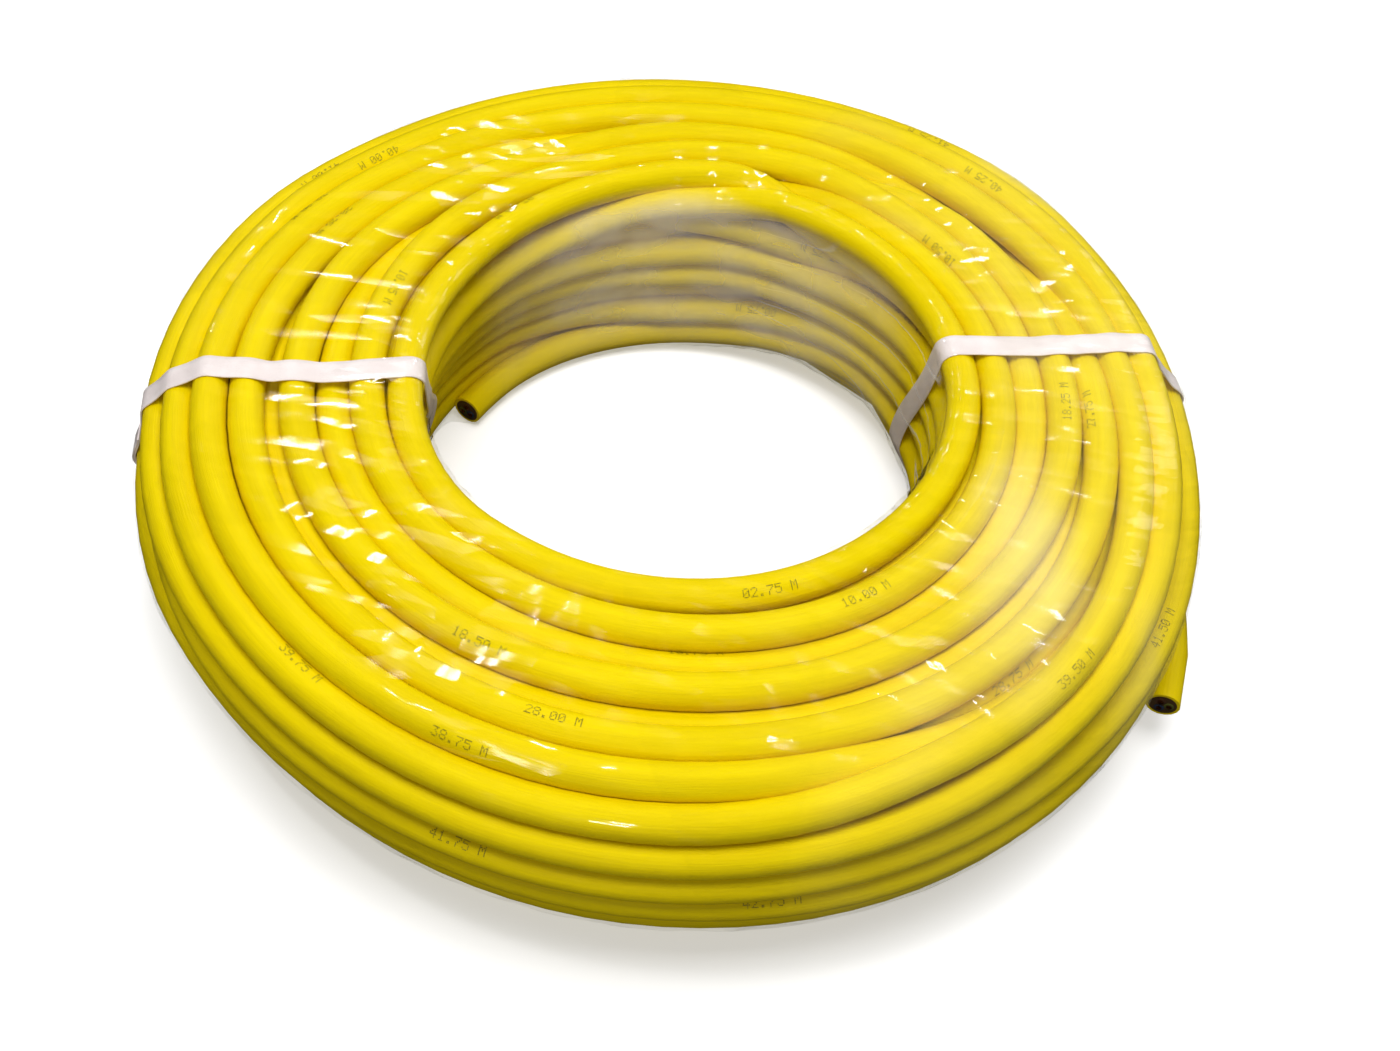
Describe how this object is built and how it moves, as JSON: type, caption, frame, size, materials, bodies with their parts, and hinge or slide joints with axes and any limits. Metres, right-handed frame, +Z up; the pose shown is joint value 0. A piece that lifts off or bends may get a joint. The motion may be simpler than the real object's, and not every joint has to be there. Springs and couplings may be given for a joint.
{
  "type": "cable coil",
  "caption": "Coil of yellow sheathed electrical cable, tied with two flat straps and wound in clear film.",
  "frame": {"origin": "centre of the coil's underside, where it rests on the floor", "axes": "+Z up along the coil's axis; +X towards the side where the cable's free end leaves the coil"},
  "size_m": [0.3652, 0.3652, 0.0902],
  "materials": {
    "cable_sheath": "satin",
    "strap_plastic": "satin",
    "clear_film": "gloss"
  },
  "bodies": {
    "root": {"cable_coil": "cable_sheath", "strap_left": "strap_plastic", "strap_right": "strap_plastic", "film_wrap": "clear_film"}
  },
  "joints": []
}
